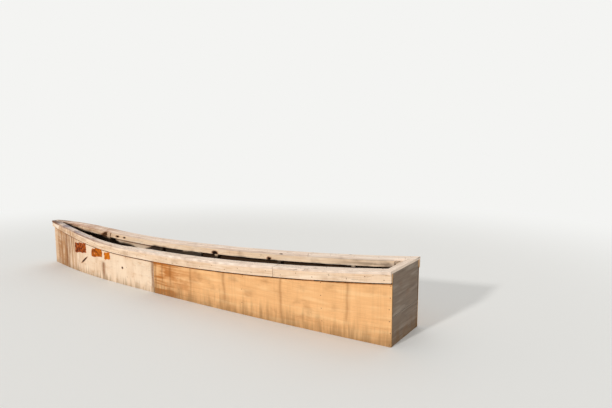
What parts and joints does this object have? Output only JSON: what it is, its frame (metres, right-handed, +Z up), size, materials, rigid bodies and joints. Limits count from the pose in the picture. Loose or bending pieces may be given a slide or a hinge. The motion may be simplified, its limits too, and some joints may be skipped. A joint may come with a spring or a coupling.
{
  "type": "flat-bottomed wooden plank boat",
  "caption": "Narrow flat-bottomed wooden boat with wide gunwale caps, plumb blunt bow, plank transom and open ribbed inside.",
  "frame": {"origin": "on the floor under the middle of the boat, half way along its length, on its centreline, at the underside of the flat bottom", "axes": "+X forward to the bow, +Y to port, +Z up; the boat stands on its flat bottom, and afloat its waterline is about 0.10 m above the origin"},
  "size_m": [5.2, 0.7262, 0.74],
  "materials": {
    "weathered_cap": "bare, weathered silver grey, rough",
    "worn_strake": "bare, sun-bleached pinkish cream, rough",
    "worn_paint_side": "thin whitish paint worn to the wood, matt",
    "bare_side": "bare orange-brown wood, matt",
    "inner_timber": "bare, dry peach brown above, damp and dark below, rough",
    "dark_bottom": "waterlogged dark brown, matt"
  },
  "bodies": {
    "root": {"bottom_plank_middle": "dark_bottom", "bottom_plank_port": "dark_bottom", "bottom_plank_starboard": "dark_bottom", "breasthook": "inner_timber", "butt_block_port": "inner_timber", "butt_block_starboard": "inner_timber", "chine_log_port": "inner_timber", "chine_log_starboard": "inner_timber", "floor_timber_1": "inner_timber", "floor_timber_2": "inner_timber", "floor_timber_3": "inner_timber", "floor_timber_4": "inner_timber", "floor_timber_5": "inner_timber", "gunwale_cap_aft_port": "weathered_cap", "gunwale_cap_aft_starboard": "weathered_cap", "gunwale_cap_fore_port": "weathered_cap", "gunwale_cap_fore_starboard": "weathered_cap", "inwale_port": "inner_timber", "inwale_starboard": "inner_timber", "nose_block": "worn_strake", "outwale_aft_port": "worn_strake", "outwale_aft_starboard": "worn_strake", "outwale_fore_port": "worn_strake", "outwale_fore_starboard": "worn_strake", "quarter_knee_port": "inner_timber", "quarter_knee_starboard": "inner_timber", "rib_1_port": "inner_timber", "rib_1_starboard": "inner_timber", "rib_2_port": "inner_timber", "rib_2_starboard": "inner_timber", "rib_3_port": "inner_timber", "rib_3_starboard": "inner_timber", "rib_4_port": "inner_timber", "rib_4_starboard": "inner_timber", "rib_5_port": "inner_timber", "rib_5_starboard": "inner_timber", "riser_port": "inner_timber", "riser_starboard": "inner_timber", "side_panel_aft_port": "bare_side", "side_panel_aft_starboard": "bare_side", "side_panel_fore_port": "worn_paint_side", "side_panel_fore_starboard": "worn_paint_side", "stem_post": "worn_paint_side", "stern_seat": "inner_timber", "thwart_fore": "inner_timber", "thwart_middle": "inner_timber", "transom_cap": "weathered_cap", "transom_plank_lower": "bare_side", "transom_plank_upper": "bare_side", "transom_post_port": "inner_timber", "transom_post_starboard": "inner_timber", "transom_sill": "inner_timber"}
  },
  "joints": []
}
